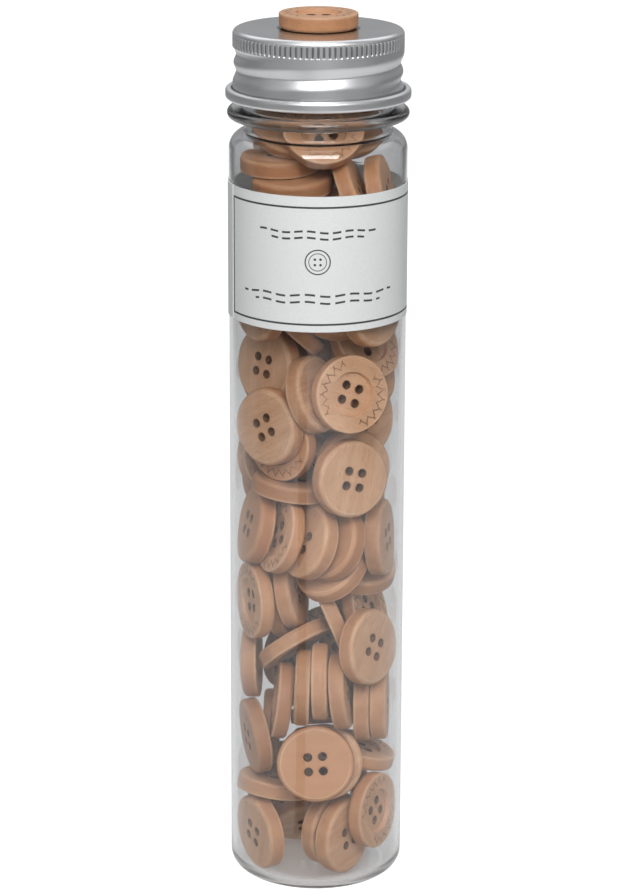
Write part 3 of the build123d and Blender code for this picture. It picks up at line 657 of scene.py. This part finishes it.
# Label: a band of white paper, glued once round the tube and lapped over its own start at the left.
# It is printed in black: a thin frame, a drawing of a button, and rows of stitches. Sizes of the
# print are in millimetres from the middle of the front and from the label's lower edge.
label_low, label_tall, paper, glue = 0.1526, 0.0346, 0.00015, 0.00003
seam, lap, lift_run, label_steps = math.radians(186.0), 0.006, 0.05, 260
inside, lap_angle = tube_radius + glue, lap / tube_radius
frame_top, frame_foot, frame_left, frame_middle, frame_half = 31.8, 1.95, -26.7, 16.87, 15.1
mark_height, mark_rim, mark_dish, mark_hole = 18.0, 3.1, 2.2, 0.7
white_paper, grey_paper = (0.865, 0.885, 0.875), (0.815, 0.835, 0.825)
warm_paper, black_ink = (0.84, 0.835, 0.815), (0.02, 0.02, 0.022)
label_paper, tree, output = new_material("printed_paper")
place = add_node(tree, "ShaderNodeTexCoord").outputs["Object"]
x, y, z = split(tree, place)
turn = calc(tree, "ARCTAN2", x, times(tree, y, -1.0))
across = times(tree, turn, tube_radius * 1000)
up = times(tree, calc(tree, "SUBTRACT", z, label_low), 1000.0)


def line_at(value, middle, half):
    """A printed line: 1 on it, 0 off it, with a soft edge."""
    return fade(tree, apart(tree, value, middle), half + 0.03, half - 0.03)


def stitch_row(height, length, dash):
    """A row of running stitches, a little wavy, centred on the front of the label."""
    wave = calc(tree, "SINE", times(tree, across, 0.55))
    row = line_at(calc(tree, "MULTIPLY_ADD", wave, 0.25, up), height, 0.26)
    dashes = fade(tree, calc(tree, "PINGPONG", across, dash), 0.30 * dash, 0.36 * dash)
    return times(tree, row, dashes, line_at(across, 0.0, length / 2))


frame_lines = calc(tree, "MAXIMUM", line_at(up, frame_top, 0.25), line_at(up, frame_foot, 0.25))
frame_lines = times(tree, frame_lines, fade(tree, across, frame_left - 0.3, frame_left - 0.1))
frame_side = times(tree, line_at(across, frame_left, 0.32), line_at(up, frame_middle, frame_half))
above_mark = calc(tree, "SUBTRACT", up, mark_height)
from_mark = length_of(tree, across, above_mark)
prints = [frame_side, line_at(from_mark, mark_rim, 0.16), line_at(from_mark, mark_dish, 0.1),
          line_at(from_four(tree, across, above_mark, mark_hole), 0.0, 0.33)]
for height, length, dash in ((25.6, 32.0, 1.6), (24.0, 24.0, 1.6), (9.4, 42.0, 1.9), (7.6, 34.0, 1.9)):
    prints.append(stitch_row(height, length, dash))
ink = frame_lines
for printed in prints:
    ink = calc(tree, "MAXIMUM", ink, printed)
outer_face = fade(tree, length_of(tree, x, y), inside + 0.4 * paper, inside + 0.8 * paper)
fibres = noise(tree, place, 1800.0, 4.0, 0.65)
tone = fade(tree, noise(tree, place, 40.0), 0.4, 0.7)
colour = blend_colour(tree, fade(tree, fibres, 0.3, 0.7), white_paper, grey_paper)
colour = stain(tree, colour, tone, 0.3, warm_paper)
colour = stain(tree, colour, times(tree, ink, outer_face), 0.96, black_ink)
bump = add_node(tree, "ShaderNodeBump", Strength=0.25, Distance=0.00005, Height=fibres)
matt = add_node(tree, "ShaderNodeBsdfPrincipled",
                Base_Color=colour, Roughness=0.6, Normal=bump.outputs[0])
tree.links.new(matt.outputs[0], output.inputs["Surface"])

corners = []
for step in range(label_steps + 1):
    run = (2 * math.pi + lap_angle) * step / label_steps
    lift = paper * ramp(run - 2 * math.pi + lift_run, lift_run)
    for reach, height in ((0, 0), (paper, 0), (paper, label_tall), (0, label_tall)):
        radius = inside + lift + reach
        corners.append((radius * math.cos(seam + run), radius * math.sin(seam + run), label_low + height))
sides = [
    [4 * step + 4 + k, 4 * step + 4 + (k + 1) % 4, 4 * step + (k + 1) % 4, 4 * step + k]
    for step in range(label_steps)
    for k in range(4)
]
ends = [[3, 2, 1, 0], [4 * label_steps + k for k in range(4)]]
label = new_object("wrapped_label", corners, sides + ends, label_paper)
label.data.set_sharp_from_angle(angle=math.radians(40))
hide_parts("label")
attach(label, "jar")
